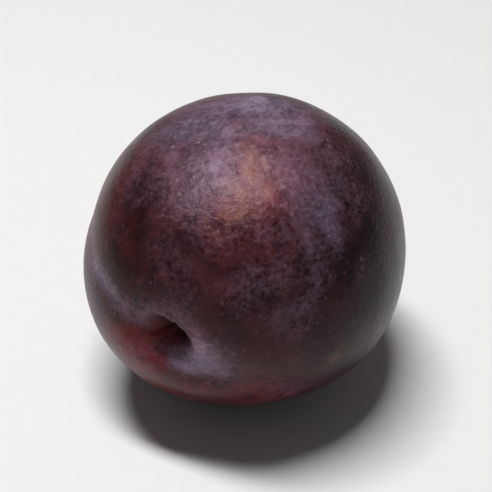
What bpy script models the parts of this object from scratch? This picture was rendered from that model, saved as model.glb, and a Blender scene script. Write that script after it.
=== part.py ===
"""A purple plum as picked, lying on its cheek: one solid fruit, with an empty stem cavity.

The fruit is shaped upright, with the stem end up (+Z) and the suture near +X. Its surface
is a distance from the middle for each direction: an egg-shaped body, swelled a little here
and there, less the suture, the furrow on its back and the stem cavity, plus the tip. It is
then laid down with the stem end towards -Y, and flattened where it rests.
"""

import math

import bmesh
import bpy
from mathutils import Matrix, Vector

MM = 0.001

# The body
LENGTH = 56.2 * MM  # along the stem axis, before the cavity sinks the stem end
WIDTH = 51.8 * MM  # along X, from about the suture to the back
THICKNESS = 49.2 * MM  # along Y, from cheek to cheek
TAPER = 0.015  # share by which the tip half is slimmer than the stem half

# Swells and hollows that make it a grown thing: polar angle from the stem and azimuth from
# +X in degrees, rise, and reach in degrees
SWELLS = (
    (46, 41, 0.75 * MM, 28),
    (89, 153, 0.60 * MM, 26),
    (55, 128, -0.45 * MM, 24),
    (75, -7, -0.50 * MM, 26),
    (117, -170, -0.30 * MM, 30),
)

# The suture, a shallow valley from the stem to the tip, a touch deeper between the shoulders
SUTURE_AT = -14  # azimuth in degrees
SUTURE_DEPTH = 0.28 * MM
SUTURE_WIDTH = 2.6 * MM
NOTCH_DEPTH = 0.10 * MM
NOTCH_WIDTH = 4.2 * MM
NOTCH_ENDS = 58  # polar angle in degrees
SHOULDER_STARTS = 14
GROOVE_STARTS = 2.0 * MM  # distances from the stem axis, between which every groove fades in
GROOVE_FULL = 7.0 * MM

# The furrow on the back, which only dents the shoulder
FURROW_AT = 150  # azimuth in degrees
FURROW_DEPTH = 1.3 * MM
FURROW_WIDTH = 5.0 * MM
FURROW_ENDS = 62

# The stem cavity, a steep pit in a shallow basin, and the blossom-end tip. The stem grew a
# little off the axis, so the pit's wall is gentle on one side and steep on the other.
PIT_DEPTH = 4.8 * MM
PIT_RADIUS = 3.3 * MM
PIT_STRETCH = 1.2  # the pit is longer along the suture than across it
PIT_STEEPNESS = 3.0
PIT_ASIDE = (1.0 * MM, 0.2 * MM)  # its middle, off the stem axis
PIT_LEAN = 0.35  # share by which its gentle side reaches further and its steep side less
PIT_LEANS_TO = 45  # azimuth of the gentle side in degrees
BASIN_DEPTH = 1.8 * MM
BASIN_RADIUS = 8.5 * MM
TIP_RISE = 0.6 * MM
TIP_RADIUS = 4.2 * MM

# How it lies: the stem end towards -Y, turned a little to -X, with the suture on that side
TURN = -23.6  # degrees about the vertical
LIFT = 1.6  # degrees by which the stem end looks up
ROLL = -3.7  # degrees about the stem axis
FLAT_DEPTH = 0.4 * MM  # what its own weight flattens

# The skin: linear red, green, blue and alpha
SKIN_COLOUR = (0.10, 0.028, 0.042, 1.0)
SKIN_ROUGHNESS = 0.42

# The surface's grid, whose lines crowd towards the stem and the suture
COLUMNS = 68
ROWS = 56
CROWD_TO_STEM = 0.5
CROWD_TO_SUTURE = 0.55


def bell(distance, reach):
    """1 at no distance, falling smoothly to almost nothing at twice the reach."""
    return math.exp(-((distance / reach) ** 2))


def fade(value, start, end):
    """1 up to start and 0 from end on, with a smooth step between them."""
    share = min(max((value - start) / (end - start), 0.0), 1.0)
    return 1.0 - share * share * (3.0 - 2.0 * share)


def direction(polar, azimuth):
    """The unit vector at a polar angle from the stem and an azimuth from +X, in radians."""
    return Vector(
        (math.sin(polar) * math.cos(azimuth), math.sin(polar) * math.sin(azimuth), math.cos(polar))
    )


def body_radius(way, polar):
    """The egg: an ellipsoid, a little slimmer towards the tip."""
    ellipsoid = Vector((way.x * 2 / WIDTH, way.y * 2 / THICKNESS, way.z * 2 / LENGTH)).length
    return (1.0 - TAPER * (1.0 - fade(polar, math.pi / 2, math.pi))) / ellipsoid


def swell(way):
    """The sum of the swells: each is a bell round its own direction."""
    rise = 0.0
    for polar, azimuth, height, reach in SWELLS:
        middle = direction(math.radians(polar), math.radians(azimuth))
        rise += height * bell(way.angle(middle), math.radians(reach))
    return rise


def groove(place, at, depth, width):
    """A valley along one meridian: a bell of the distance sideways, fading in away from the stem axis."""
    at = math.radians(at)
    outward = place.x * math.cos(at) + place.y * math.sin(at)
    sideways = place.y * math.cos(at) - place.x * math.sin(at)
    return depth * bell(sideways, width) * (1.0 - fade(outward, GROOVE_STARTS, GROOVE_FULL))


def shoulder(polar, ends):
    """1 on the stem end's shoulder, fading to 0 at a polar angle in degrees."""
    return fade(polar, math.radians(SHOULDER_STARTS), math.radians(ends))


def cavity(place):
    """How far the stem end is sunk: a steep-walled pit inside a wide, shallow basin."""
    along, aside = place.x - PIT_ASIDE[0], place.y - PIT_ASIDE[1]
    lean = 1.0 + PIT_LEAN * math.cos(math.atan2(aside, along) - math.radians(PIT_LEANS_TO))
    across = math.hypot(along / PIT_STRETCH, aside) / (PIT_RADIUS * lean)
    basin = BASIN_DEPTH * bell(math.hypot(place.x, place.y), BASIN_RADIUS)
    return PIT_DEPTH * math.exp(-(across**PIT_STEEPNESS)) + basin


def surface_point(polar, azimuth):
    """The point of the skin in one direction from the middle of the upright fruit."""
    way = direction(polar, azimuth)
    place = way * (body_radius(way, polar) + swell(way))
    sunk = groove(place, SUTURE_AT, SUTURE_DEPTH, SUTURE_WIDTH)
    sunk += groove(place, SUTURE_AT, NOTCH_DEPTH, NOTCH_WIDTH) * shoulder(polar, NOTCH_ENDS)
    sunk += groove(place, FURROW_AT, FURROW_DEPTH, FURROW_WIDTH) * shoulder(polar, FURROW_ENDS)
    if place.z > 0.0:
        sunk += cavity(place)
    else:
        sunk -= TIP_RISE * bell(math.hypot(place.x, place.y), TIP_RADIUS)
    return place - way * sunk


def resting_pose():
    """Turns the upright fruit into the way it lies."""
    roll = Matrix.Rotation(math.radians(180 + ROLL), 3, "Z")
    tip_over = Matrix.Rotation(math.radians(90 - LIFT), 3, "X")
    turn = Matrix.Rotation(math.radians(TURN), 3, "Z")
    return turn @ tip_over @ roll


def upright_fruit():
    """A sphere's grid, crowded towards the stem and the suture, and moved out to the skin."""
    mesh = bmesh.new()
    bmesh.ops.create_uvsphere(mesh, u_segments=COLUMNS, v_segments=ROWS, radius=1.0)
    for vertex in mesh.verts:
        share = vertex.co.angle(Vector((0, 0, 1))) / math.pi
        polar = math.pi * share * (1.0 - CROWD_TO_STEM + CROWD_TO_STEM * share)
        azimuth = math.atan2(vertex.co.y, vertex.co.x)
        azimuth += math.radians(SUTURE_AT) - CROWD_TO_SUTURE * math.sin(azimuth)
        vertex.co = surface_point(polar, azimuth)
    return mesh


def press_underside(mesh):
    """Presses the foot level, as the fruit's weight does, and makes it one flat face on z = 0."""
    level = min(vertex.co.z for vertex in mesh.verts) + FLAT_DEPTH
    pressed = {vertex for vertex in mesh.verts if vertex.co.z < level}
    for vertex in pressed:
        vertex.co.z = level
    foot = [face for face in mesh.faces if pressed.issuperset(face.verts)]
    flat = bmesh.ops.dissolve_faces(mesh, faces=foot)["region"]
    bmesh.ops.translate(mesh, verts=mesh.verts, vec=(0, 0, -level))
    return flat


def centre_over_origin(mesh):
    """Puts the middle of the bounding box over the origin, so that the fruit is placed by its foot."""
    for axis in (0, 1):
        places = [vertex.co[axis] for vertex in mesh.verts]
        shift = Vector((0, 0, 0))
        shift[axis] = -(min(places) + max(places)) / 2
        bmesh.ops.translate(mesh, verts=mesh.verts, vec=shift)


def skin_material():
    """Dark purple-red skin under a dull waxy bloom."""
    material = bpy.data.materials.new("plum_skin")
    material.use_nodes = True
    shader = material.node_tree.nodes["Principled BSDF"]
    shader.inputs["Base Color"].default_value = SKIN_COLOUR
    shader.inputs["Roughness"].default_value = SKIN_ROUGHNESS
    shader.inputs["Metallic"].default_value = 0.0
    return material


def build_plum(collection):
    """The whole fruit as one closed object, smooth shaded but for its flat foot."""
    mesh = upright_fruit()
    bmesh.ops.transform(mesh, matrix=resting_pose(), verts=mesh.verts)
    flat = press_underside(mesh)
    centre_over_origin(mesh)
    bmesh.ops.recalc_face_normals(mesh, faces=mesh.faces)
    for face in mesh.faces:
        face.smooth = face not in flat
    data = bpy.data.meshes.new("plum")
    mesh.to_mesh(data)
    mesh.free()
    data.materials.append(skin_material())
    plum = bpy.data.objects.new("plum", data)
    collection.objects.link(plum)
    return plum


def main():
    for old in list(bpy.data.objects):
        bpy.data.objects.remove(old)
    collection = bpy.data.collections.new("purple_plum")
    bpy.context.scene.collection.children.link(collection)
    build_plum(collection)


main()
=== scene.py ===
"""A purple plum as picked, lying on its cheek: one whole fruit, part bare and part under bloom.

The skin is one surface worked out on a grid of directions from the middle of the fruit, in the
fruit's own frame: the stem end is +Z and the suture is near +X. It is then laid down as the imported
part lies. Broad fields of colour are painted on its points, and the fine grain of the skin is
made in its material.
"""

import math

import bpy
import numpy as np
from bpy.props import FloatProperty, FloatVectorProperty, IntProperty, PointerProperty
from mathutils import Matrix, Vector


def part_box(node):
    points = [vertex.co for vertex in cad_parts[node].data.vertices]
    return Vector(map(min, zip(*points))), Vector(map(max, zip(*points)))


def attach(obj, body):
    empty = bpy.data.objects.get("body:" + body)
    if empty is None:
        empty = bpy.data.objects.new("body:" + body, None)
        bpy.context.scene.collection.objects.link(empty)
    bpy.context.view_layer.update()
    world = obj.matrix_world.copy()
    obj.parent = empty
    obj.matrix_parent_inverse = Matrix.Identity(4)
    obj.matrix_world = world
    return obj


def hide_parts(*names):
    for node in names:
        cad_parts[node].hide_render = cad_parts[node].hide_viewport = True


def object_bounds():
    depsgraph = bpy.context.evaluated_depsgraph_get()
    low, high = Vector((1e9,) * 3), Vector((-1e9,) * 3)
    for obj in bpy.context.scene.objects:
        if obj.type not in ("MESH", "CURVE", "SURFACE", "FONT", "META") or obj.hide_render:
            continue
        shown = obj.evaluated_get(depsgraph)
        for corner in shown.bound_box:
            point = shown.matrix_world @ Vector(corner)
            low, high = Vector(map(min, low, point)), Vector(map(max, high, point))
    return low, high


bl_info = {
    "name": "Purple plum",
    "version": (1, 0, 0),
    "blender": (4, 5, 0),
    "location": "View3D > Sidebar > Plum",
    "description": "Grows the bloomed skin of a purple plum and sets a plain stage under it",
    "category": "Add Mesh",
}

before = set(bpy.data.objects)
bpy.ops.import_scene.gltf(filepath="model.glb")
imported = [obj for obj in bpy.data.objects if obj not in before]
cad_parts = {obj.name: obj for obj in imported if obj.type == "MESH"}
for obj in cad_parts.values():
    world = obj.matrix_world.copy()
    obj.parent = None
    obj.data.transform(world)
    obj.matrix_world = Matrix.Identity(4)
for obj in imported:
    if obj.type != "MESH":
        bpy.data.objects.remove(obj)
CAD_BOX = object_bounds()
MM = 0.001
PER_MM = 1000.0


def linear(code):
    """An sRGB hex colour as linear red, green and blue."""
    parts = [int(code[i : i + 2], 16) / 255 for i in (0, 2, 4)]
    return tuple(p / 12.92 if p <= 0.04045 else ((p + 0.055) / 1.055) ** 2.4 for p in parts)


def length_prop(name, description, millimetres):
    """A settings property for a length, given in millimetres and held in metres."""
    return FloatProperty(
        name=name,
        description=description,
        default=millimetres * MM,
        min=0.0,
        precision=4,
        subtype="DISTANCE",
        unit="LENGTH",
    )


def angle_prop(name, description, degrees):
    """A settings property for an angle, given in degrees and held in radians."""
    return FloatProperty(
        name=name,
        description=description,
        default=math.radians(degrees),
        subtype="ANGLE",
        unit="ROTATION",
    )


def share_prop(name, description, value):
    """A settings property for a share from 0 to 1."""
    return FloatProperty(
        name=name, description=description, default=value, min=0.0, max=1.0, subtype="FACTOR"
    )


def colour_prop(name, description, code):
    """A settings property for a colour, given as sRGB hex and held as linear values."""
    return FloatVectorProperty(
        name=name,
        description=description,
        default=linear(code),
        min=0.0,
        max=1.0,
        size=3,
        subtype="COLOR",
    )


# ---------------------------------------------------------------------------------------------
# Settings
# ---------------------------------------------------------------------------------------------


class PlumShape(bpy.types.PropertyGroup):
    """The fruit's own sizes, the same as the part's."""

    length: length_prop("Length", "Along the stem axis, before the cavity sinks the stem end", 56.2)
    width: length_prop("Width", "From the suture to the back", 51.8)
    thickness: length_prop("Thickness", "From cheek to cheek", 49.2)
    taper: share_prop("Taper", "How much slimmer the tip half is than the stem half", 0.015)
    suture_depth: length_prop("Suture depth", "Depth of the shallow valley to the tip", 0.28)
    suture_width: length_prop("Suture width", "Half width of that valley", 2.6)
    crease_depth: length_prop("Crease depth", "Depth of the fine line in the valley", 0.06)
    crease_width: length_prop("Crease width", "Half width of that line", 0.45)
    notch_depth: length_prop("Notch depth", "Extra depth of the suture on the shoulder", 0.10)
    notch_width: length_prop("Notch width", "Half width of the suture on the shoulder", 4.2)
    furrow_depth: length_prop("Furrow depth", "Depth of the dent in the back's shoulder", 1.3)
    furrow_width: length_prop("Furrow width", "Half width of that dent", 5.0)
    pit_depth: length_prop("Pit depth", "Depth of the stem pit below the basin", 4.8)
    pit_radius: length_prop("Pit radius", "Half width of the stem pit", 3.3)
    basin_depth: length_prop("Basin depth", "Depth of the shallow basin round the pit", 1.8)
    basin_radius: length_prop("Basin radius", "Half width of that basin", 8.5)
    tip_rise: length_prop("Tip rise", "Height of the blossom-end tip", 0.6)
    tip_radius: length_prop("Tip radius", "Half width of that tip", 4.2)
    waves: length_prop("Waves", "Height of the gentle unevenness of the skin", 0.05)
    flat_depth: length_prop("Flat depth", "How far the foot is pressed flat", 0.4)
    turn: angle_prop("Turn", "About the vertical, from the stem end pointing to -Y", -23.6)
    lift: angle_prop("Lift", "How far the stem end looks up", 1.6)
    roll: angle_prop("Roll", "About the stem axis", -3.7)
    rows: IntProperty(
        name="Rows", description="Rings of points from stem to tip", default=248, min=40
    )
    columns: IntProperty(name="Columns", description="Points in each ring", default=396, min=40)


class PlumSkin(bpy.types.PropertyGroup):
    """The skin's colours and finish."""

    dark: colour_prop("Dark skin", "Ripest skin, nearly black", "281114")
    wine: colour_prop("Wine skin", "Ripe maroon skin", "3f1b1e")
    # Blue-black skin; over the right cheek it is also painted shade
    blush: colour_prop("Red skin", "Red skin at the shoulders", "6e2326")
    gold: colour_prop("Golden skin", "Thin golden skin that shows through", "b68462")
    blue_black_and_shade: colour_prop("Blue-black skin", "Blue-black skin of the far cheek", "0e0d12")
    bloom: colour_prop("Bloom", "Waxy bloom on the redder skin", "986f85")
    bloom_cool: colour_prop("Cool bloom", "Waxy bloom on the darkest skin", "858099")
    caked: colour_prop("Caked bloom", "Waxy bloom piled so thick that it looks dusty", "b6a4b2")
    speck: colour_prop("Specks", "Pale breathing pores of the skin", "b0929c")
    scar: colour_prop("Scar", "Dry tissue where the stem came away", "6d5138")
    bare_roughness: share_prop("Bare roughness", "Roughness of skin rubbed clean", 0.31)
    bloom_roughness: share_prop("Bloom roughness", "Roughness where bloom lies thick", 0.44)
    cover: share_prop("Cover", "How much of the skin's colour thick bloom hides", 0.50)
    caked_cover: share_prop("Caked cover", "How much more of it caked bloom hides", 0.17)
    speck_cover: share_prop("Speck cover", "How much of the colour under it a speck hides", 0.42)


class PlumStage(bpy.types.PropertyGroup):
    """The floor, the light and the camera."""

    floor: colour_prop("Floor", "Matt pale board", "f7f6f5")
    floor_size: length_prop("Floor size", "Diameter of the round floor", 760.0)
    camera_height: angle_prop("Camera height", "Angle of the camera above the horizon", 36.0)
    camera_distance: length_prop("Camera distance", "From the middle of the fruit", 205.0)
    lens: FloatProperty(name="Lens", description="Focal length", default=92.0, unit="CAMERA")
    lamp_width: length_prop("Lamp width", "Of the long overhead softbox, side to side", 105.0)
    lamp_length: length_prop("Lamp length", "Of that softbox, front to back", 380.0)
    lamp_turn: angle_prop("Lamp turn", "Of that softbox about the vertical", -20.0)
    lamp_height: length_prop("Lamp height", "Of the softbox over the floor", 750.0)
    lamp_left: length_prop("Lamp left", "How far left of the fruit the softbox hangs", 100.0)
    lamp_back: length_prop("Lamp back", "How far behind the fruit the softbox hangs", 20.0)
    lamp_power: FloatProperty(
        name="Lamp power", description="Of the softbox", default=5.3, min=0.0, unit="POWER"
    )


# ---------------------------------------------------------------------------------------------
# Shape
# ---------------------------------------------------------------------------------------------

# Swells and hollows of the body: polar angle from the stem and azimuth from +X in degrees,
# rise in millimetres, and reach in degrees
SWELLS = (
    (46, 41, 0.75, 28),
    (89, 153, 0.60, 26),
    (55, 128, -0.45, 24),
    (75, -7, -0.50, 26),
    (117, -170, -0.30, 30),
)

# Where the grooves run and end, and how the pit leans, the same as the part's
SUTURE_AT = math.radians(-14)
FURROW_AT = math.radians(150)
SHOULDER_STARTS = math.radians(14)
NOTCH_ENDS = math.radians(58)
FURROW_ENDS = math.radians(62)
GROOVE_STARTS = 2.0 * MM
GROOVE_FULL = 7.0 * MM
PIT_STRETCH = 1.2
PIT_STEEPNESS = 3.0
PIT_ASIDE = (1.0 * MM, 0.2 * MM)
PIT_LEAN = 0.35
PIT_LEANS_TO = math.radians(45)
CROWD_TO_STEM = 0.5
CROWD_TO_SUTURE = 0.55
FOOT_ROUNDING = 0.06 * MM  # half the height over which the skin bends into its flat foot

# The fine relief. The crease swings to and fro with its height, and jitters on top of that. The
# folds run down the pit's wall. The boss of the stem's scar stands in a moat on the pit's floor.
LONG_WAVES, LONG_WAVES_SHARE = 13 * MM, 0.7
SHORT_WAVES, SHORT_WAVES_SHARE = 7 * MM, 0.2
CREASE_SWING, CREASE_SWING_PER_RADIAN = 0.25 * MM, 2.1 * MM
CREASE_JITTER, CREASE_JITTER_SIZE = 0.10 * MM, 3 * MM
FOLD_HEIGHT = 0.10 * MM
FOLDS_AT, FOLDS_REACH = 3.1 * MM, 1.5 * MM
FOLDS_WIND, FOLDS_WIND_SIZE = 2.0, 9 * MM
MAIN_FOLDS, SIDE_FOLDS, SIDE_FOLDS_SHARE = 9, 14, 0.6
BOSS_HEIGHT, BOSS_RADIUS = 0.35 * MM, 1.1 * MM
BOSS_ROUGHNESS, BOSS_ROUGH_SIZE, BOSS_ROUGH_TO = 0.06 * MM, 0.9 * MM, 1.4 * MM
MOAT_DEPTH, MOAT_AT, MOAT_WIDTH = 0.25 * MM, 1.5 * MM, 0.35 * MM
TIP_SCAR_DEPTH, TIP_SCAR_RADIUS = 0.25 * MM, 0.7 * MM


def bell(distance, reach):
    """1 at no distance, falling smoothly to almost nothing at twice the reach."""
    return np.exp(-((distance / reach) ** 2))


def rise(value, start, end):
    """0 up to start and 1 from end on, with a smooth step between them."""
    share = np.clip((value - start) / (end - start), 0.0, 1.0)
    return share * share * (3.0 - 2.0 * share)


def angle_to(way, polar, azimuth):
    """The angle from each unit vector to the one at a polar angle and an azimuth."""
    middle = np.array(
        [math.sin(polar) * math.cos(azimuth), math.sin(polar) * math.sin(azimuth), math.cos(polar)]
    )
    return np.arccos(np.clip(way @ middle, -1.0, 1.0))


def waves(points, size, count, seed):
    """An even unevenness from -1 to 1 or so: the sum of sine waves of about one size, each along
    its own direction, with its own phase."""
    draw = np.random.default_rng(seed)
    along = draw.normal(size=(count, 3))
    along /= np.linalg.norm(along, axis=1)[:, None]
    along *= (2 * math.pi / size) * draw.uniform(0.7, 1.4, count)[:, None]
    phase = draw.uniform(0, 2 * math.pi, count)
    total = np.zeros(points.shape[:-1])
    for direction, start in zip(along, phase):
        total += np.sin(points @ direction + start)
    return total / math.sqrt(count / 2)


def body(way, polar, shape):
    """The egg's radius: an ellipsoid's, a little less towards the tip, plus the swells' bells."""
    half = np.array([shape.width, shape.thickness, shape.length]) / 2
    radius = 1.0 / np.linalg.norm(way / half, axis=-1)
    radius *= 1.0 - shape.taper * rise(polar, math.pi / 2, math.pi)
    for at, round_to, height, reach in SWELLS:
        away = angle_to(way, math.radians(at), math.radians(round_to))
        radius += height * MM * bell(away, math.radians(reach))
    return radius


def groove(place, at, depth, width):
    """A valley along one meridian: a bell of the distance sideways, faded in off the axis."""
    outward = place[..., 0] * math.cos(at) + place[..., 1] * math.sin(at)
    sideways = place[..., 1] * math.cos(at) - place[..., 0] * math.sin(at)
    return depth * bell(sideways, width) * rise(outward, GROOVE_STARTS, GROOVE_FULL)


def sunk_depth(place, polar, shape):
    """How far the skin lies under the egg: suture, notch, furrow, basin and pit, less the tip.

    The first three are valleys along meridians, the notch and the furrow only on the shoulder.
    The basin and the tip are bells of the distance from the stem axis. The pit falls off as e to
    the minus cube of the distance from its own middle, in shares of a radius that is stretched
    along the suture and is longer on the pit's gentle side."""
    across = np.hypot(place[..., 0], place[..., 1])
    shoulder = 1.0 - rise(polar, SHOULDER_STARTS, NOTCH_ENDS)
    back_shoulder = 1.0 - rise(polar, SHOULDER_STARTS, FURROW_ENDS)
    sunk = groove(place, SUTURE_AT, shape.suture_depth, shape.suture_width)
    sunk += groove(place, SUTURE_AT, shape.notch_depth, shape.notch_width) * shoulder
    sunk += groove(place, FURROW_AT, shape.furrow_depth, shape.furrow_width) * back_shoulder
    aside, along = place[..., 1] - PIT_ASIDE[1], place[..., 0] - PIT_ASIDE[0]
    lean = 1.0 + PIT_LEAN * np.cos(np.arctan2(aside, along) - PIT_LEANS_TO)
    pit = np.hypot(along / PIT_STRETCH, aside) / (shape.pit_radius * lean)
    stem_side = shape.pit_depth * np.exp(-(pit**PIT_STEEPNESS))
    stem_side += shape.basin_depth * bell(across, shape.basin_radius)
    tip_side = -shape.tip_rise * bell(across, shape.tip_radius)
    return sunk + np.where(place[..., 2] > 0.0, stem_side, tip_side)


def fine_depth(place, shape):
    """The relief too fine for the part: waves, the suture's crease, folds in the pit and two scars.

    The waves lie between nothing and twice their height below the skin. The crease is a groove
    along a line that swings as a sine of the height and jitters by waves. The folds are two
    cosines of the azimuth, under a bell of the distance from the pit's wall. The stem's scar is
    a bell-shaped boss less a ring-shaped moat, and the blossom's is a bell-shaped pinprick."""
    across = np.hypot(place[..., 0], place[..., 1])
    azimuth = np.arctan2(place[..., 1], place[..., 0])
    uneven = LONG_WAVES_SHARE * waves(place, LONG_WAVES, count=14, seed=3)
    uneven += SHORT_WAVES_SHARE * waves(place, SHORT_WAVES, count=14, seed=4)
    sunk = shape.waves * (1.0 + uneven)
    wavering = place.copy()
    wavering[..., 1] += CREASE_SWING * np.sin(place[..., 2] / CREASE_SWING_PER_RADIAN)
    wavering[..., 1] += CREASE_JITTER * waves(place, CREASE_JITTER_SIZE, count=8, seed=5)
    sunk += groove(wavering, SUTURE_AT, shape.crease_depth, shape.crease_width)
    winding = FOLDS_WIND * waves(place, FOLDS_WIND_SIZE, count=6, seed=6)
    folds = np.cos(MAIN_FOLDS * azimuth + winding)
    folds += SIDE_FOLDS_SHARE * np.cos(SIDE_FOLDS * azimuth + 1.0)
    in_pit = FOLD_HEIGHT * bell(across - FOLDS_AT, FOLDS_REACH) * folds
    in_pit += MOAT_DEPTH * bell(across - MOAT_AT, MOAT_WIDTH)
    in_pit -= BOSS_HEIGHT * bell(across, BOSS_RADIUS)
    rough = BOSS_ROUGHNESS * waves(place, BOSS_ROUGH_SIZE, count=10, seed=7)
    in_pit += rough * bell(across, BOSS_ROUGH_TO)
    in_tip = TIP_SCAR_DEPTH * bell(across, TIP_SCAR_RADIUS)
    return sunk + np.where(place[..., 2] > 0.0, in_pit, in_tip)


def directions(rows, columns):
    """The grid of directions: rings of polar angle, closer near the stem, and azimuths, closer near
    the suture. The first and the last ring are the two poles."""
    share = np.linspace(0.0, 1.0, rows)
    polar = math.pi * share * (1.0 - CROWD_TO_STEM + CROWD_TO_STEM * share)
    turn = np.linspace(0.0, 2 * math.pi, columns, endpoint=False)
    azimuth = turn + SUTURE_AT - CROWD_TO_SUTURE * np.sin(turn)
    polar, azimuth = np.meshgrid(polar, azimuth, indexing="ij")
    way = np.stack(
        [np.sin(polar) * np.cos(azimuth), np.sin(polar) * np.sin(azimuth), np.cos(polar)], axis=-1
    )
    return way, polar


def resting_pose(shape):
    """Turns the upright fruit into the way it lies: rolled, tipped over, then turned."""
    roll = Matrix.Rotation(math.pi + shape.roll, 3, "Z")
    tip_over = Matrix.Rotation(math.pi / 2 - shape.lift, 3, "X")
    turn = Matrix.Rotation(shape.turn, 3, "Z")
    return np.array(turn @ tip_over @ roll)


def settle(points, flat_depth, low, high):
    """Presses the foot level, and sets the fruit in the part's box.

    Heights below the flat's level are raised to it, and a parabola joins the flat to the skin.
    Then the fruit is shrunk by the hair that its finer grid stands proud of the box, if any,
    about the middle of its foot."""
    level = points[..., 2].min() + flat_depth
    over = points[..., 2] - level
    share = np.clip(over / FOOT_ROUNDING, -1.0, 1.0)
    height = np.where(share < 1.0, FOOT_ROUNDING * (share + 1.0) ** 2 / 4, over)
    points = np.concatenate([points[..., :2], height[..., None]], axis=-1)
    mine_low, mine_high = points.min(axis=(0, 1)), points.max(axis=(0, 1))
    shrink = min(1.0, ((high - low) / (mine_high - mine_low)).min())
    foot = (mine_low + mine_high) / 2
    foot[2] = mine_low[2]
    target = (low + high) / 2
    target[2] = low[2]
    return (points - foot) * shrink + target


def closed_grid(name, points):
    """A closed surface from rings of points: quads between rings, and fans at the two poles."""
    rows, columns = points.shape[:2]
    ring = np.arange(columns)
    after = (ring + 1) % columns
    first = 1 + np.arange(rows - 3)[:, None] * columns
    below = first + columns
    quads = np.stack([first + ring, below + ring, below + after, first + after], -1)
    last = 1 + (rows - 3) * columns
    pole = last + columns
    top = np.stack([np.zeros(columns, int), 1 + ring, 1 + after], -1)
    bottom = np.stack([np.full(columns, pole), last + after, last + ring], -1)
    vertices = np.concatenate([points[0, :1], points[1:-1].reshape(-1, 3), points[-1, :1]])
    loops = np.concatenate([top.ravel(), quads.ravel(), bottom.ravel()])
    sizes = np.concatenate([np.full(columns, 3), np.full(quads.size // 4, 4), np.full(columns, 3)])
    mesh = bpy.data.meshes.new(name)
    mesh.vertices.add(len(vertices))
    mesh.vertices.foreach_set("co", vertices.astype(np.float32).ravel())
    mesh.loops.add(len(loops))
    mesh.loops.foreach_set("vertex_index", loops.astype(np.int32))
    mesh.polygons.add(len(sizes))
    starts = np.concatenate([[0], np.cumsum(sizes)[:-1]])
    mesh.polygons.foreach_set("loop_start", starts.astype(np.int32))
    mesh.update(calc_edges=True)
    mesh.validate()
    mesh.shade_smooth()
    return mesh


def put_field(mesh, name, values):
    """Stores one number for each point of a closed grid as a named attribute."""
    packed = np.concatenate([values[0, :1], values[1:-1].ravel(), values[-1, :1]])
    layer = mesh.attributes.new(name, "FLOAT", "POINT")
    layer.data.foreach_set("value", packed.astype(np.float32))


# ---------------------------------------------------------------------------------------------
# Colour fields
# ---------------------------------------------------------------------------------------------

FIELDS = ("bloom", "cool", "blush", "gold", "blue_black_and_shade", "cavity", "scar")

# The patches' edges wander by this share of the fruit's radius, in waves of this size
NUDGE, NUDGE_SIZE = 0.045, 14 * MM

# Painted shade in the pit, under its steep wall, where the colour is darkened: its middle, off the
# stem axis, and its radius
PAINTED_PIT_SHADE, PAINTED_PIT_SHADE_RADIUS = (0.8 * MM, 1.0 * MM), 1.75 * MM

# The band of bloom along the suture: it fades in between two distances from the stem axis, thins
# out to a share of itself towards the tip, and lies in clumps
BAND_WIDTH = 1.9 * MM
BAND_STARTS, BAND_FULL = 4 * MM, 8 * MM
BAND_TO_TIP = 0.3
BAND_EVENNESS, BAND_CLUMPING, BAND_CLUMPS = 0.8, 0.3, 6 * MM

# The ring of bloom round the cavity, broken on the pit's gentle side
RIM_RADIUS, RIM_WIDTH = 5.0 * MM, 1.6 * MM
RIM_OPENING = (math.radians(15), math.radians(75))

# How thick bloom lies all over, along the suture and on the rim, and how cool the suture's is
THIN_BLOOM, SUTURE_BLOOM, RIM_BLOOM, SUTURE_COOL = 0.05, 0.8, 0.55, 0.2

# The dry stain on each scar
STEM_STAIN_RADIUS = 1.3 * MM
TIP_STAIN_RADIUS, TIP_STAIN_STRENGTH = 0.8 * MM, 1.8

# Each patch: degrees to the right and up from the front of the fruit as it lies, its half
# width and half height in degrees, and its strength. The front looks up at 36 degrees.
FRONT_HEIGHT = math.radians(36)

# Bloom, then what is piled on top of it, and what is rubbed away again
BLOOM = (
    # The upper left, up to the crown
    (-12, 23, 14, 13, 0.95),
    (-26, 28, 9, 9, 0.70),
    (-34, 19, 5, 5, 0.25),
    (-6, 42, 24, 9, 0.85),
    (12, 40, 10, 8, 0.50),
    (4, 66, 28, 10, 0.95),
    (2, 55, 24, 6, 0.55),
    (-28, 46, 18, 9, 0.70),
    (-38, 34, 6, 6, 0.35),
    (-46, 24, 5, 6, 0.35),
    # The upper right, and down the right cheek
    (22, 39, 8, 6, 0.90),
    (21, 51, 9, 6, 0.70),
    (14, 27, 13, 13, 0.55),
    (24, 16, 10, 10, 0.48),
    (29, 11, 4, 6, 0.55),
    (32, 6, 4, 4, 0.50),
    (38, 21, 7, 8, 0.14),
    (41, 30, 6, 6, 0.30),
    (47, 12, 5, 5, 0.20),
    (20, -7, 3, 10, 0.43),
    (18, 2, 5, 5, 0.38),
    (25, -4, 4, 6, 0.25),
    (18, -24, 5, 7, 0.38),
    (46, -8, 5, 5, 0.30),
    # The middle, thin and broken
    (5, -9, 5, 4, 0.10),
    (9, 4, 8, 9, 0.12),
    (-3, 2, 7, 4, 0.24),
    (-22, -10, 9, 8, 0.11),
    (13, -14, 11, 8, 0.17),
    (0, -12, 7, 5, 0.15),
    (5, -19, 5, 4, 0.10),
    (-18, -15, 6, 7, 0.07),
    # Round the stem cavity, and the lower edge. On the pit's lower wall and to its left, bloom is
    # laid on thicker as painted light, lifting skin that lies in shade.
    (-18, -35, 5, 5, 0.90),
    (-43, -36, 9, 7, 0.30),
    (-44, -14, 8, 5, 0.30),
    (-64, -14, 10, 20, 0.35),
    (-23, -41, 8, 6, 0.95),
    (-37, -37, 5, 4, 0.40),
    (-34, -41, 4, 4, 0.90),
    (-55, -38, 8, 6, 0.22),
    (29, -55, 13, 7, 0.30),
    # The far side
    (159, 21, 50, 40, 0.60),
    (108, -28, 30, 30, 0.35),
    (-116, 5, 30, 40, 0.50),
)
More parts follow.
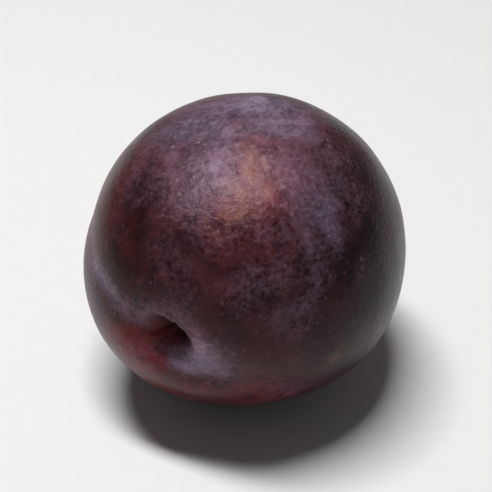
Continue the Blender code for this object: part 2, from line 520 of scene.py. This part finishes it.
# On the pit's lower wall the first three patches are partly real bloom and partly painted light,
# lifting a wall in shade
THICK = (
    (-22, -42, 6, 4, 0.80),
    (-28, -41, 6, 5, 0.85),
    (-34, -41, 4, 3, 0.40),
    (-9, 27, 10, 12, 0.65),
    (4, 64, 20, 8, 0.20),
    (4, 71, 3, 4, 0.80),
    (-3, 31, 5, 4, 0.60),
    (22, 38, 5, 4, 0.45),
    (23, 51, 6, 4, 0.30),
)
BARE = (
    (-49, -4, 16, 26, 0.25),
    (44, -23, 22, 24, 0.10),
    (3, 15, 5, 5, 0.28),
    (24, 36, 5, 4, 0.30),
    (13, 38, 6, 4, 0.22),
    (-3, 43, 4, 3, 0.22),
    (7, 25, 4, 4, 0.32),
    (13, -17, 4, 6, 0.14),
    (-41, -49, 9, 3, 0.30),
    (-12, -43, 4, 4, 0.25),
    (-16, 14, 6, 4, 0.18),
    (-32, 14, 4, 5, 0.18),
    (-26, 39, 5, 6, 0.35),
)

# How cool the bloom's colour is
COOL = (
    (4, 66, 30, 12, 0.80),
    (-30, 46, 18, 9, 0.70),
    (21, 44, 12, 8, 0.60),
    (32, 4, 12, 26, 0.70),
    (12, -16, 12, 12, 0.70),
    (-61, -14, 14, 20, 0.60),
    (-20, -43, 12, 8, 0.70),
    (-19, 22, 12, 12, 0.40),
    (159, 21, 50, 40, 0.50),
)

# The skin under the bloom: red, golden and blue-black. The big blue-black patch on the right cheek
# is painted shade, darkening that side.
BLUSH = (
    (-50, -36, 16, 13, 0.85),
    (-42, -37, 9, 8, 0.70),
    (-46, -24, 7, 6, 0.50),
    (3, 23, 8, 12, 0.80),
    (-14, 17, 4, 4, 0.35),
    (-6, 10, 7, 6, 0.50),
    (-54, 25, 12, 12, 0.20),
    (-20, -58, 44, 11, 0.45),
    (-3, 0, 9, 8, 0.32),
    (18, 34, 8, 6, 0.30),
    (13, 39, 7, 5, 0.50),
    (-91, 12, 30, 30, 0.50),
    (-175, -37, 30, 30, 0.60),
)
GOLD = (
    (9, 33, 5, 6, 0.40),
    (2, 36, 5, 5, 0.30),
    (1, 25, 5, 6, 0.50),
    (-6, 16, 5, 6, 0.50),
    (-5, 6, 4, 4, 0.25),
    # These two patches of golden skin left of the pit are painted light, lifting the red lobe where
    # it lies in shade
    (-43, -37, 7, 7, 0.14),
    (-47, -31, 6, 5, 0.12),
    (38, -39, 5, 7, 0.26),
    (-177, -15, 12, 16, 0.50),
)
BLUE_BLACK_SKIN_AND_SHADE = (
    (-31, -10, 12, 9, 0.35),
    # Painted shade: this patch darkens the right cheek, where shade falls
    (58, -14, 28, 40, 1.00),
    (101, 9, 30, 30, 0.50),
)


def patches(way, spots):
    """Several soft patches laid over one another: 1 less the product of what each leaves over.

    What a patch takes is its strength times a bell of the angles to the right and up from its
    middle, as shares of its half width and half height."""
    right = np.array([1.0, 0.0, 0.0])
    up = np.array([0.0, math.sin(FRONT_HEIGHT), math.cos(FRONT_HEIGHT)])
    out = np.cross(right, up)
    heights = np.degrees(np.arcsin(np.clip(way @ up, -1.0, 1.0)))
    rights = np.degrees(np.arctan2(way @ right, way @ out))
    field = np.zeros(way.shape[:-1])
    for at_right, at_up, half_width, half_height, strength in spots:
        turned = (rights - at_right + 180.0) % 360.0 - 180.0
        turned = turned * np.cos(np.radians(at_up))
        away = np.hypot(turned / half_width, (heights - at_up) / half_height)
        field = 1.0 - (1.0 - field) * (1.0 - strength * bell(away, 1.0))
    return field


def cavity_rim(place):
    """The ring where bloom gathers round the stem cavity: a bell of the distance from a circle
    about the pit, broken on the pit's gentle side."""
    along, aside = place[..., 0] - PIT_ASIDE[0], place[..., 1] - PIT_ASIDE[1]
    from_gentle = np.arccos(np.cos(np.arctan2(aside, along) - PIT_LEANS_TO))
    ring = bell(np.hypot(along, aside) - RIM_RADIUS, RIM_WIDTH) * rise(from_gentle, *RIM_OPENING)
    return np.where(place[..., 2] > 0.0, ring, 0.0)


def paint_fields(mesh, place, points, polar):
    """Paints the broad fields on the fruit: its patches, some of them painted shade and painted
    light, the bloom along the suture and round the cavity, the painted shade in the pit, and the
    scars' stains.

    Each field's patches are looked up at directions that are first nudged by waves, so that
    their edges wander. The suture's band is a bell of the distance sideways, in clumps made by
    waves. The painted shade in the pit and the stains are bells of the distance from their middles."""
    middle = (points.min(axis=(0, 1)) + points.max(axis=(0, 1))) / 2
    nudge = [waves(points, NUDGE_SIZE, count=12, seed=seed) for seed in (11, 12, 13)]
    way = points - middle
    way = way / np.linalg.norm(way, axis=-1)[..., None] + NUDGE * np.stack(nudge, axis=-1)
    way /= np.linalg.norm(way, axis=-1)[..., None]
    across = np.hypot(place[..., 0], place[..., 1])
    stem_side = place[..., 2] > 0.0
    # Painted shade in the pit: the skin is darkened under its steep wall, and its bloom taken away
    from_pit_shade = np.hypot(place[..., 0] - PAINTED_PIT_SHADE[0], place[..., 1] - PAINTED_PIT_SHADE[1])
    cavity = np.where(stem_side, bell(from_pit_shade, PAINTED_PIT_SHADE_RADIUS), 0.0)
    suture = groove(place, SUTURE_AT, 1.0, BAND_WIDTH) * rise(across, BAND_STARTS, BAND_FULL)
    suture *= 1.0 - (1.0 - BAND_TO_TIP) * rise(polar, NOTCH_ENDS, 2 * NOTCH_ENDS)
    suture *= BAND_EVENNESS + BAND_CLUMPING * waves(place, BAND_CLUMPS, count=10, seed=21)
    tip_stain = TIP_STAIN_STRENGTH * bell(across, TIP_STAIN_RADIUS)
    scar = np.where(stem_side, bell(across, STEM_STAIN_RADIUS), tip_stain)
    bloom = THIN_BLOOM + patches(way, BLOOM) + patches(way, THICK) - patches(way, BARE)
    bloom += SUTURE_BLOOM * suture + RIM_BLOOM * cavity_rim(place)
    fields = (
        bloom * (1.0 - cavity),
        patches(way, COOL) + SUTURE_COOL * suture,
        patches(way, BLUSH),
        patches(way, GOLD),
        patches(way, BLUE_BLACK_SKIN_AND_SHADE),
        cavity,
        scar,
    )
    for name, field in zip(FIELDS, fields):
        put_field(mesh, name, np.maximum(field, 0.0))


# ---------------------------------------------------------------------------------------------
# Materials
# ---------------------------------------------------------------------------------------------


def add(tree, kind, feeds=(), out=0, **settings):
    """Adds one node with its settings, feeds its sockets, and gives back one of its outputs.

    The feeds are values or other nodes' outputs: in the sockets' order, or by name or number."""
    made = tree.nodes.new(kind)
    for key, value in settings.items():
        setattr(made, key, value)
    for key, feed in feeds.items() if isinstance(feeds, dict) else enumerate(feeds):
        if isinstance(feed, bpy.types.NodeSocket):
            tree.links.new(feed, made.inputs[key])
        else:
            made.inputs[key].default_value = feed
    return made.outputs[out]


def new_material(name):
    """An empty node material, with its node tree and its shader."""
    material = bpy.data.materials.new(name)
    material.use_nodes = True
    return material, material.node_tree, material.node_tree.nodes["Principled BSDF"]


# A Mix node's sockets by number, as it has the same names for numbers and for colours
SHARE, UNDER, OVER, MIXED = 0, 6, 7, 2
NUMBER_UNDER, NUMBER_OVER = 2, 3

# Grains of the skin: size in millimetres, detail, how far it winds, and how many times as long
# as wide it is along the stem axis. The grains of real bloom are a few thousandths of a
# millimetre, too fine to show, so its powder is drawn coarser, at 0.4 mm.
GRAINS = {
    "smudge": (5.5, 3.0, 0.6, 1.0),
    "mottle": (2.2, 3.0, 0.8, 1.0),
    "pebble": (0.85, 1.5, 0.15, 1.0),
    "powder": (0.40, 1.0, 0.0, 1.0),
    "streak": (0.60, 1.0, 0.5, 6.0),
}
GRAIN_RANGE = (0.28, 0.72)  # the noise values that become 0 and 1

# How much each grain changes the film of bloom: the coarse ones by a share of its thickness, and
# the fine ones by the same wherever it lies, so that it breaks up into flecks where it is thin
COARSE_SHARES = {"smudge": 0.55, "mottle": 0.5, "streak": 0.3}
FINE_SHARES = {"pebble": 0.42, "powder": 0.26}
FLECKED = (0.06, 0.20)  # the painted bloom at which the flecks start, and are full
FILM_LIMIT = 1.5  # times as thick as a full coat of bloom
CAKED = (0.8, 1.6)  # the film at which bloom starts to look caked, and looks so fully

PORE_SPACING = 1.25  # millimetres
PORE_REACH = (0.01, 0.38)  # from the least to the most open, as shares of the spacing
PORE_CHANCE = (0.2, 1.0)  # the draw at which a pore starts to open, and is wide open
BARE_PORES, PORES_FULL = 0.25, 0.5  # how plain they are on bare skin, and the film that ends it
RIPENESS = (0.2, 0.8)  # the smudges from dark skin to wine skin
EDGE_WANDER = 0.35  # how far the mottle pushes the edges of the red and golden skin
EDGE_FADE = (0.05, 0.95)  # the painted red or gold that starts to show, and shows fully
CAVITY_SHADE, STAIN_COVER = 0.9, 0.5  # how much of the colour the pit's shade and a stain hide
ROUGHNESS_MOTTLE = 0.06  # how far the mottle changes the roughness

# Relief in millimetres, how much of it is left on bare skin, and the film that shows it all
PEBBLE_HEIGHT, POWDER_HEIGHT, PORE_HEIGHT = 0.072, 0.036, 0.02
BARE_RELIEF, RELIEF_FULL = 0.35, 0.45

# The gloss. Wax has an index of 1.44, but its powdery face takes away a good part of the gloss,
# and what is left of it is a little pink from the red skin just under the wax.
SKIN_IOR = 1.29
GLOSS_TINT = (1.0, 0.70, 0.74, 1.0)

# The light that comes back out of the flesh: how much, and how far red, green and blue go
FLESH_GLOW = 0.05
FLESH_REACH, FLESH_REACH_MM = (1.0, 0.35, 0.25), 1.2


def bloomed_plum_skin(skin, pose):
    """Ripe plum skin: thin, smooth and waxed by the tree, with bloom rubbed off here and there.

    The eye sees a glossy near-black maroon where it is bare, a dull lavender haze where bloom
    lies, both pebbled like orange peel, and fine pale specks all over."""
    material, tree, shader = new_material("bloomed_plum_skin")
    field = {}
    for name in FIELDS:
        field[name] = add(tree, "ShaderNodeAttribute", out="Fac", attribute_name=name)

    # Places in millimetres in the fruit's own frame, with its stem axis along Z
    here = add(tree, "ShaderNodeTexCoord", out="Object")
    upright = Matrix(pose.tolist()).inverted().to_euler()
    place = add(
        tree, "ShaderNodeMapping", {"Vector": here, "Rotation": upright, "Scale": (PER_MM,) * 3}
    )
    grain = {}
    for name, (size, detail, winding, length) in GRAINS.items():
        drawn = add(tree, "ShaderNodeMapping", {"Vector": place, "Scale": (1.0, 1.0, 1.0 / length)})
        look = {"Vector": drawn, "Scale": 1.0 / size, "Detail": detail, "Distortion": winding}
        noise = add(tree, "ShaderNodeTexNoise", look)
        grain[name] = add(tree, "ShaderNodeMapRange", (noise, *GRAIN_RANGE))

    # The film of bloom: the painted field, times the coarse grains, plus the flecks
    film = 1.0 - sum(COARSE_SHARES.values()) / 2
    for name, share in COARSE_SHARES.items():
        film = add(tree, "ShaderNodeMath", (grain[name], share, film), operation="MULTIPLY_ADD")
    film = add(tree, "ShaderNodeMath", (field["bloom"], film), operation="MULTIPLY")
    film = add(tree, "ShaderNodeMath", (film, FILM_LIMIT), operation="MINIMUM")
    fleck = -sum(FINE_SHARES.values()) / 2
    for name, share in FINE_SHARES.items():
        fleck = add(tree, "ShaderNodeMath", (grain[name], share, fleck), operation="MULTIPLY_ADD")
    flecked = add(tree, "ShaderNodeMapRange", (field["bloom"], *FLECKED))
    film = add(tree, "ShaderNodeMath", (flecked, fleck, film), operation="MULTIPLY_ADD")
    film = add(tree, "ShaderNodeMath", (film, 0.0), operation="MAXIMUM")
    caked = add(tree, "ShaderNodeMapRange", (film, *CAKED))

    # Specks: pale breathing pores, each open by its own chance and some of them hardly open
    pores = {"Vector": place, "Scale": 1.0 / PORE_SPACING}
    away = add(tree, "ShaderNodeTexVoronoi", pores)
    chance = add(tree, "ShaderNodeSeparateColor", (away.node.outputs["Color"],))
    opened = add(tree, "ShaderNodeMapRange", (chance, *PORE_CHANCE, *PORE_REACH))
    speck = add(
        tree, "ShaderNodeMapRange", (away, opened, 0.0, 0.0, 1.0), interpolation_type="SMOOTHSTEP"
    )
    waxed = add(tree, "ShaderNodeMapRange", (film, 0.0, PORES_FULL, BARE_PORES, 1.0))
    pale = add(tree, "ShaderNodeMath", (speck, waxed), operation="MULTIPLY")

    # Colours, from the flesh side outwards: each lies over the last by its own share
    ripe = add(
        tree, "ShaderNodeMapRange", (grain["smudge"], *RIPENESS), interpolation_type="SMOOTHSTEP"
    )
    shifted = add(tree, "ShaderNodeMath", (grain["mottle"], 0.5), operation="SUBTRACT")
    edged = {}
    for name in ("blush", "gold"):
        nudged = add(
            tree, "ShaderNodeMath", (shifted, EDGE_WANDER, field[name]), operation="MULTIPLY_ADD"
        )
        edged[name] = add(
            tree, "ShaderNodeMapRange", (nudged, *EDGE_FADE), interpolation_type="SMOOTHSTEP"
        )
    wax = add(
        tree,
        "ShaderNodeMix",
        {SHARE: field["cool"], UNDER: (*skin.bloom, 1.0), OVER: (*skin.bloom_cool, 1.0)},
        MIXED,
        data_type="RGBA",
    )
    colour = (*skin.dark, 1.0)
    for share, strength, paint in (
        (ripe, 1.0, skin.wine),
        # Blue-black skin, which over the right cheek is painted shade
        (field["blue_black_and_shade"], 1.0, skin.blue_black_and_shade),
        (edged["blush"], 1.0, skin.blush),
        (edged["gold"], 1.0, skin.gold),
        (film, skin.cover, wax),
        (caked, skin.caked_cover, skin.caked),
        (pale, skin.speck_cover, skin.speck),
        # Painted shade in the pit: the darkest skin laid over it under the steep wall
        (field["cavity"], CAVITY_SHADE, skin.dark),
        (field["scar"], STAIN_COVER, skin.scar),
    ):
        laid = add(tree, "ShaderNodeMath", (share, strength), operation="MULTIPLY")
        over = paint if isinstance(paint, bpy.types.NodeSocket) else (*paint, 1.0)
        layers = {SHARE: laid, UNDER: colour, OVER: over}
        colour = add(tree, "ShaderNodeMix", layers, MIXED, data_type="RGBA")
    tree.links.new(colour, shader.inputs["Base Color"])

    roughness = (film, 0.0, 1.0, skin.bare_roughness, skin.bloom_roughness)
    dull = add(tree, "ShaderNodeMapRange", roughness)
    dull = add(tree, "ShaderNodeMath", (shifted, ROUGHNESS_MOTTLE, dull), operation="MULTIPLY_ADD")
    tree.links.new(dull, shader.inputs["Roughness"])

    # Relief: pebbles, powder, and the pores, which stand up a little
    height = 0.0
    for part, tall in (
        (grain["pebble"], PEBBLE_HEIGHT),
        (grain["powder"], POWDER_HEIGHT),
        (speck, PORE_HEIGHT),
    ):
        height = add(tree, "ShaderNodeMath", (part, tall, height), operation="MULTIPLY_ADD")
    shown = add(tree, "ShaderNodeMapRange", (film, 0.0, RELIEF_FULL, BARE_RELIEF, 1.0))
    bump = add(tree, "ShaderNodeBump", {"Height": height, "Strength": shown, "Distance": MM})
    tree.links.new(bump, shader.inputs["Normal"])
    shader.inputs["IOR"].default_value = SKIN_IOR
    shader.inputs["Specular Tint"].default_value = GLOSS_TINT
    shader.inputs["Subsurface Weight"].default_value = FLESH_GLOW
    shader.inputs["Subsurface Radius"].default_value = FLESH_REACH
    shader.inputs["Subsurface Scale"].default_value = FLESH_REACH_MM * MM
    return material


# The board's paper fibres are hundredths of a millimetre wide, too fine to show, so they are
# drawn coarser, as a mottle of 2.5 mm. It darkens the board by no more than this share, over
# this range of the noise.
FIBRE_SIZE, FIBRE_SHADE, FIBRE_RANGE = 2.5 * MM, 0.015, (0.3, 0.7)
BOARD_ROUGHNESS, BOARD_GLOSS = 0.9, 0.2


def matt_pale_board(stage):
    """Card faced with matt paper: a faint fibre mottle and no gloss.

    The eye sees an even, pale ground with soft shadows and no reflections."""
    material, tree, shader = new_material("matt_pale_board")
    here = add(tree, "ShaderNodeTexCoord", out="Object")
    fibre = add(
        tree, "ShaderNodeTexNoise", {"Vector": here, "Scale": 1.0 / FIBRE_SIZE, "Detail": 3.0}
    )
    shade = add(tree, "ShaderNodeMapRange", (fibre, *FIBRE_RANGE, 1.0 - FIBRE_SHADE, 1.0))
    pale = add(
        tree,
        "ShaderNodeMix",
        {SHARE: 1.0, UNDER: (*stage.floor, 1.0), OVER: shade},
        MIXED,
        data_type="RGBA",
        blend_type="MULTIPLY",
    )
    tree.links.new(pale, shader.inputs["Base Color"])
    shader.inputs["Roughness"].default_value = BOARD_ROUGHNESS
    shader.inputs["Specular IOR Level"].default_value = BOARD_GLOSS
    return material


# ---------------------------------------------------------------------------------------------
# Stage
# ---------------------------------------------------------------------------------------------

FLOOR_SIDES = 180

# How bright the room is level with the eye and from a steeper look upwards on, as the fruit sees
# it and as the camera sees it. The look's steepness is the sine of its angle.
STEEP_LOOK = 0.35
WALLS = (0.10, 0.07)
BACKDROP = (0.66, 0.85)


def lay_floor(stage):
    """A round board, level with the foot of the fruit."""
    turn = np.linspace(0.0, 2 * math.pi, FLOOR_SIDES, endpoint=False)
    rim = np.stack([np.cos(turn), np.sin(turn), np.zeros(FLOOR_SIDES)], axis=-1)
    rim = rim * stage.floor_size / 2 + np.array([0.0, 0.0, CAD_BOX[0].z])
    mesh = bpy.data.meshes.new("floor")
    mesh.from_pydata(rim.tolist(), [], [tuple(range(FLOOR_SIDES))])
    mesh.materials.append(matt_pale_board(stage))
    floor = bpy.data.objects.new("floor", mesh)
    bpy.context.scene.collection.objects.link(floor)


def hang_lamp(stage):
    """A long softbox overhead, to the fruit's left and a little behind it."""
    data = bpy.data.lights.new("softbox", "AREA")
    data.shape = "RECTANGLE"
    data.size = stage.lamp_width
    data.size_y = stage.lamp_length
    data.energy = stage.lamp_power
    lamp = bpy.data.objects.new("softbox", data)
    lamp.location = (-stage.lamp_left, stage.lamp_back, stage.lamp_height)
    middle = (CAD_BOX[0] + CAD_BOX[1]) / 2
    turned = Matrix.Rotation(stage.lamp_turn, 3, "Z")
    aimed = (middle - lamp.location).to_track_quat("-Z", "Y").to_matrix()
    lamp.rotation_euler = (aimed @ turned).to_euler()
    bpy.context.scene.collection.objects.link(lamp)


def light_room():
    """A dim room, so that the skin's gloss shows the softbox and the board, and a pale backdrop
    that is as bright low down as the board is at its edge."""
    world = bpy.data.worlds.new("dim_room")
    world.use_nodes = True
    tree = world.node_tree
    toward = add(tree, "ShaderNodeTexCoord", out="Generated")
    height = add(tree, "ShaderNodeSeparateXYZ", (toward,), out="Z")
    walls = add(tree, "ShaderNodeMapRange", (height, 0.0, STEEP_LOOK, *WALLS))
    seen = add(tree, "ShaderNodeLightPath", out="Is Camera Ray")
    backdrop = add(tree, "ShaderNodeMapRange", (height, 0.0, STEEP_LOOK, *BACKDROP))
    mix = {SHARE: seen, NUMBER_UNDER: walls, NUMBER_OVER: backdrop}
    strength = add(tree, "ShaderNodeMix", mix)
    tree.links.new(strength, tree.nodes["Background"].inputs["Strength"])
    tree.nodes["Background"].inputs["Color"].default_value = (1.0, 1.0, 1.0, 1.0)
    bpy.context.scene.world = world


def place_camera(stage):
    """A long lens that looks down at the middle of the fruit from the front."""
    data = bpy.data.cameras.new("camera")
    data.lens = stage.lens
    data.clip_start = 10 * MM
    camera = bpy.data.objects.new("camera", data)
    back = Vector((0.0, -math.cos(stage.camera_height), math.sin(stage.camera_height)))
    middle = (CAD_BOX[0] + CAD_BOX[1]) / 2
    camera.location = middle + back * stage.camera_distance
    camera.rotation_euler = (-back).to_track_quat("-Z", "Y").to_euler()
    bpy.context.scene.collection.objects.link(camera)
    bpy.context.scene.camera = camera
    bpy.context.scene.view_settings.view_transform = "Standard"


# ---------------------------------------------------------------------------------------------
# Operators and panel
# ---------------------------------------------------------------------------------------------


class PLUM_OT_grow_skin(bpy.types.Operator):
    """Grow the plum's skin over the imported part"""

    bl_idname = "plum.grow_skin"
    bl_label = "Grow the skin"

    def execute(self, context):
        shape = context.scene.plum_shape
        low, high = (np.array(corner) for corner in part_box("plum"))
        way, polar = directions(shape.rows, shape.columns)
        place = way * body(way, polar, shape)[..., None]
        sunk = sunk_depth(place, polar, shape) + fine_depth(place, shape)
        pose = resting_pose(shape)
        points = settle((place - way * sunk[..., None]) @ pose.T, shape.flat_depth, low, high)
        if not np.isfinite(points).all():
            raise RuntimeError("the skin's shape has a point at no place: check the shape settings")
        mesh = closed_grid("plum_skin", points)
        paint_fields(mesh, place, points, polar)
        mesh.materials.append(bloomed_plum_skin(context.scene.plum_skin, pose))
        skin = bpy.data.objects.new("plum_skin", mesh)
        context.scene.collection.objects.link(skin)
        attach(skin, "root")
        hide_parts("plum")
        return {"FINISHED"}


class PLUM_OT_set_stage(bpy.types.Operator):
    """Set a pale floor, a softbox, a dim room and the camera"""

    bl_idname = "plum.set_stage"
    bl_label = "Set the stage"

    def execute(self, context):
        stage = context.scene.plum_stage
        if stage.camera_distance <= 0.0:
            raise RuntimeError("the camera needs a distance from the fruit")
        lay_floor(stage)
        hang_lamp(stage)
        light_room()
        place_camera(stage)
        return {"FINISHED"}


class PLUM_PT_panel(bpy.types.Panel):
    """Lists the pieces and the stage"""

    bl_idname = "PLUM_PT_panel"
    bl_label = "Purple plum"
    bl_space_type = "VIEW_3D"
    bl_region_type = "UI"
    bl_category = "Plum"

    def draw(self, context):
        for operator, settings in (
            (PLUM_OT_grow_skin, (context.scene.plum_shape, context.scene.plum_skin)),
            (PLUM_OT_set_stage, (context.scene.plum_stage,)),
        ):
            box = self.layout.box()
            box.operator(operator.bl_idname)
            for group in settings:
                for name in group.bl_rna.properties.keys():
                    if name not in ("rna_type", "name"):
                        box.prop(group, name)


CLASSES = (PlumShape, PlumSkin, PlumStage, PLUM_OT_grow_skin, PLUM_OT_set_stage, PLUM_PT_panel)
SETTINGS = {"plum_shape": PlumShape, "plum_skin": PlumSkin, "plum_stage": PlumStage}


def register():
    for item in CLASSES:
        bpy.utils.register_class(item)
    for name, group in SETTINGS.items():
        setattr(bpy.types.Scene, name, PointerProperty(type=group))


def unregister():
    for name in SETTINGS:
        delattr(bpy.types.Scene, name)
    for item in reversed(CLASSES):
        bpy.utils.unregister_class(item)


def main():
    """Builds the plum and its stage."""
    register()
    bpy.ops.plum.grow_skin()
    bpy.ops.plum.set_stage()


if __name__ == "__main__":
    main()
